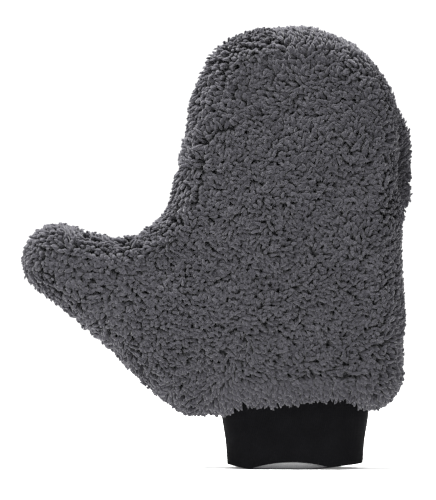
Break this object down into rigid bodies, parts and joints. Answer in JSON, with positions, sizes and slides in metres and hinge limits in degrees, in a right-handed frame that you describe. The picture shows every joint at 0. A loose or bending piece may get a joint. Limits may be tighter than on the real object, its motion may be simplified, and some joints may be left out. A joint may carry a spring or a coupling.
{
  "type": "car wash mitt",
  "caption": "Deep-pile car wash mitt with a thumb and a plain black knit cuff; the thumb swings and the fingers curl.",
  "frame": {"origin": "centre of the cuff's mouth, on the surface the cuff stands on", "axes": "+Z from the cuff's mouth to the fingertips, -X towards the thumb, -Y out of the front face and +Y out of the back face"},
  "size_m": [0.2425, 0.058, 0.279],
  "materials": {
    "pile": "matte",
    "foam": "matte",
    "lining": "matte",
    "cuff_knit": "matte",
    "thread": "matte",
    "cuff_thread": "matte"
  },
  "bodies": {
    "hand": {"front_shell": "pile", "back_shell": "pile", "front_padding": "foam", "back_padding": "foam", "front_lining": "lining", "back_lining": "lining", "shell_seam_thread": "thread", "lining_seam_thread": "thread", "cuff": "cuff_knit", "cuff_join_thread": "cuff_thread", "cuff_side_seam_thread": "cuff_thread"},
    "thumb": {"thumb_front_shell": "pile", "thumb_back_shell": "pile", "thumb_front_padding": "foam", "thumb_back_padding": "foam", "thumb_front_lining": "lining", "thumb_back_lining": "lining", "thumb_shell_seam_thread": "thread", "thumb_lining_seam_thread": "thread"},
    "fingers": {"fingers_front_shell": "pile", "fingers_back_shell": "pile", "fingers_front_padding": "foam", "fingers_back_padding": "foam", "fingers_front_lining": "lining", "fingers_back_lining": "lining", "fingers_shell_seam_thread": "thread", "fingers_lining_seam_thread": "thread"}
  },
  "joints": [
    {"name": "thumb_flex", "type": "hinge", "parent": "hand", "child": "thumb", "pos_m": [-0.093, 0, 0.09], "axis": [0, 0, 1], "range_deg": [-45, 45], "stiffness_Nm_per_rad": 0.05},
    {"name": "finger_curl", "type": "hinge", "parent": "hand", "child": "fingers", "pos_m": [0, 0, 0.196], "axis": [1, 0, 0], "range_deg": [-50, 50], "stiffness_Nm_per_rad": 0.15}
  ]
}
